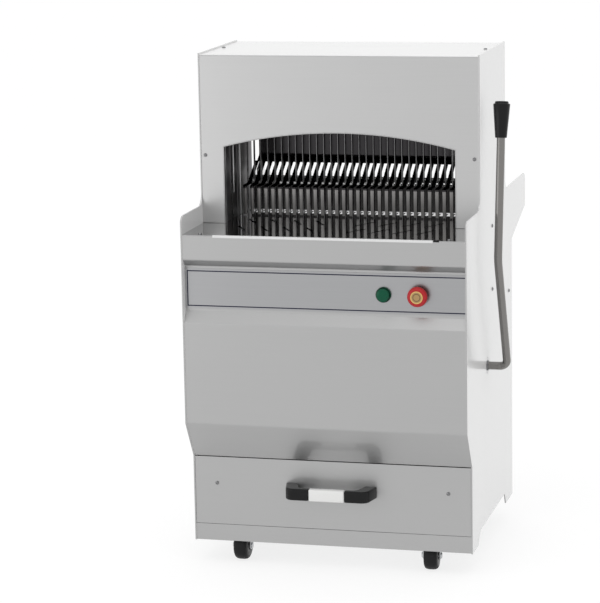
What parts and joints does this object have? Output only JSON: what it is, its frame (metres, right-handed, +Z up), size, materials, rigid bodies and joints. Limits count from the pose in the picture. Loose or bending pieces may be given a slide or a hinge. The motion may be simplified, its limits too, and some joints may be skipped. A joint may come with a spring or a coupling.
{
  "type": "bread slicer machine",
  "caption": "Floor-standing bakery bread slicer: steel cabinet with side panels, arched blade hood, lever-driven pusher comb, reciprocating blade frames, crumb drawer and casters.",
  "frame": {"origin": "on the floor under the middle of the cabinet, where the casters stand", "axes": "+X to the right seen from the front, +Y to the back, +Z up"},
  "size_m": [0.662, 0.7291, 1.075],
  "materials": {
    "white_paint": "gloss white powder coat",
    "stainless": "satin brushed stainless sheet",
    "polished_steel": "polished stainless",
    "strip_face": "brushed strip with a thin printed line",
    "frame_paint": "dark enamel",
    "zinc_steel": "zinc-plated steel",
    "machined_steel": "machined steel",
    "cast_housing": "painted casting",
    "motor_paint": "blue-grey enamel",
    "belt_rubber": "matt rubber",
    "aluminium_bar": "plain machined aluminium",
    "blade_steel": "ground blade steel",
    "button_metal": "satin metal",
    "button_green": "gloss green",
    "button_red": "gloss red",
    "button_yellow": "gloss yellow",
    "pale_plastic": "matt pale plastic",
    "black_plastic": "matt black plastic",
    "screw_steel": "plain screw steel",
    "lever_steel": "satin grey-green lever finish",
    "caster_rubber": "black rubber tread"
  },
  "bodies": {
    "chassis": {"left_panel": "white_paint", "right_panel": "white_paint", "front_cover": "stainless", "control_strip": "strip_face", "hood_front": "stainless", "hood_top": "white_paint", "hood_rear": "stainless", "rear_cover": "stainless", "wing_pan": "stainless", "delivery_table": "polished_steel", "loading_table": "polished_steel", "guide_plates": "polished_steel", "plinth": "stainless", "base_rails": "frame_paint", "drawer_runners": "zinc_steel", "drive_shelf": "frame_paint", "crank_bearings": "cast_housing", "motor_body": "motor_paint", "drive_belt": "belt_rubber", "guide_rods": "polished_steel", "rod_holders": "frame_paint", "carriage_rods": "polished_steel", "lever_bushes": "machined_steel", "start_bezel": "button_metal", "stop_collar": "button_yellow", "control_box": "pale_plastic", "power_gland": "black_plastic", "cabinet_screws": "screw_steel", "caster_plates": "zinc_steel"},
    "drawer": {"drawer_front": "stainless", "drawer_box": "zinc_steel", "drawer_handle": "black_plastic", "handle_insert": "pale_plastic", "drawer_screws": "screw_steel"},
    "lever": {"lever_tube": "lever_steel", "lever_grip": "black_plastic", "lever_shaft": "machined_steel"},
    "pusher": {"pusher_comb": "polished_steel", "pusher_cheeks": "machined_steel", "pusher_carriage": "machined_steel", "drag_bar": "machined_steel"},
    "front_frame": {"front_blade_frame": "aluminium_bar", "front_blades": "blade_steel"},
    "rear_frame": {"rear_blade_frame": "aluminium_bar", "rear_blades": "blade_steel"},
    "front_rod": {"front_conrod": "machined_steel"},
    "rear_rod": {"rear_conrod": "machined_steel"},
    "crank": {"crankshaft": "machined_steel", "crank_pulley": "machined_steel"},
    "motor_rotor": {"motor_pulley": "machined_steel"},
    "start_cap": {"start_button": "button_green"},
    "stop_head": {"stop_button": "button_red"},
    "swivel_fl": {"caster_fork_fl": "zinc_steel"},
    "wheel_fl": {"caster_wheel_fl": "caster_rubber"},
    "swivel_fr": {"caster_fork_fr": "zinc_steel"},
    "wheel_fr": {"caster_wheel_fr": "caster_rubber"},
    "swivel_rl": {"caster_fork_rl": "zinc_steel"},
    "wheel_rl": {"caster_wheel_rl": "caster_rubber"},
    "swivel_rr": {"caster_fork_rr": "zinc_steel"},
    "wheel_rr": {"caster_wheel_rr": "caster_rubber"}
  },
  "joints": [
    {"name": "drawer_slide", "type": "slide", "parent": "chassis", "child": "drawer", "axis": [0, -1, 0], "range_m": [0, 0.32]},
    {"name": "lever_hinge", "type": "hinge", "parent": "chassis", "child": "lever", "pos_m": [0, -0.035, 0.41], "axis": [-1, 0, 0], "range_deg": [0, 48]},
    {"name": "pusher_slide", "type": "slide", "parent": "chassis", "child": "pusher", "axis": [0, 1, 0], "range_m": [0, 0.20174]},
    {"name": "front_frame_slide", "type": "slide", "parent": "chassis", "child": "front_frame", "axis": [0, 0, 1], "range_m": [-0.018, 0.018]},
    {"name": "rear_frame_slide", "type": "slide", "parent": "chassis", "child": "rear_frame", "axis": [0, 0, 1], "range_m": [-0.018, 0.018]},
    {"name": "front_rod_hinge", "type": "hinge", "parent": "front_frame", "child": "front_rod", "pos_m": [-0.1344, 0.034, 0.464], "axis": [1, 0, 0], "range_deg": [-9, 9]},
    {"name": "rear_rod_hinge", "type": "hinge", "parent": "rear_frame", "child": "rear_rod", "pos_m": [0.1344, 0.07, 0.464], "axis": [1, 0, 0], "range_deg": [-9, 9]},
    {"name": "crank_spin", "type": "hinge", "parent": "chassis", "child": "crank", "pos_m": [0, 0.052, 0.35], "axis": [1, 0, 0], "continuous": true},
    {"name": "motor_spin", "type": "hinge", "parent": "chassis", "child": "motor_rotor", "pos_m": [0, -0.11, 0.3], "axis": [1, 0, 0], "continuous": true},
    {"name": "start_press", "type": "slide", "parent": "chassis", "child": "start_cap", "axis": [0, 1, 0], "range_m": [0, 0.004], "stiffness_N_per_m": 400},
    {"name": "stop_press", "type": "slide", "parent": "chassis", "child": "stop_head", "axis": [0, 1, 0], "range_m": [0, 0.005], "stiffness_N_per_m": 500},
    {"name": "swivel_fl", "type": "hinge", "parent": "chassis", "child": "swivel_fl", "pos_m": [-0.205, -0.161, 0.03], "axis": [0, 0, 1], "continuous": true},
    {"name": "roll_fl", "type": "hinge", "parent": "swivel_fl", "child": "wheel_fl", "pos_m": [-0.20563, -0.17899, 0.03], "axis": [0.9994, -0.0349, 0], "continuous": true},
    {"name": "swivel_fr", "type": "hinge", "parent": "chassis", "child": "swivel_fr", "pos_m": [0.205, -0.161, 0.03], "axis": [0, 0, 1], "continuous": true},
    {"name": "roll_fr", "type": "hinge", "parent": "swivel_fr", "child": "wheel_fr", "pos_m": [0.20563, -0.17899, 0.03], "axis": [0.9994, 0.0349, 0], "continuous": true},
    {"name": "swivel_rl", "type": "hinge", "parent": "chassis", "child": "swivel_rl", "pos_m": [-0.205, 0.209, 0.03], "axis": [0, 0, 1], "continuous": true},
    {"name": "roll_rl", "type": "hinge", "parent": "swivel_rl", "child": "wheel_rl", "pos_m": [-0.20126, 0.19139, 0.03], "axis": [0.9781, 0.2079, 0], "continuous": true},
    {"name": "swivel_rr", "type": "hinge", "parent": "chassis", "child": "swivel_rr", "pos_m": [0.205, 0.209, 0.03], "axis": [0, 0, 1], "continuous": true},
    {"name": "roll_rr", "type": "hinge", "parent": "swivel_rr", "child": "wheel_rr", "pos_m": [0.19546, 0.19373, 0.03], "axis": [0.848, -0.5299, 0], "continuous": true}
  ],
  "couplings": [
    {"joint": "pusher_slide", "follows": "lever_hinge", "m_per_rad": 0.24081},
    {"joint": "rear_frame_slide", "follows": "front_frame_slide", "ratio": -1},
    {"joint": "motor_spin", "follows": "crank_spin", "ratio": 2.3636}
  ]
}
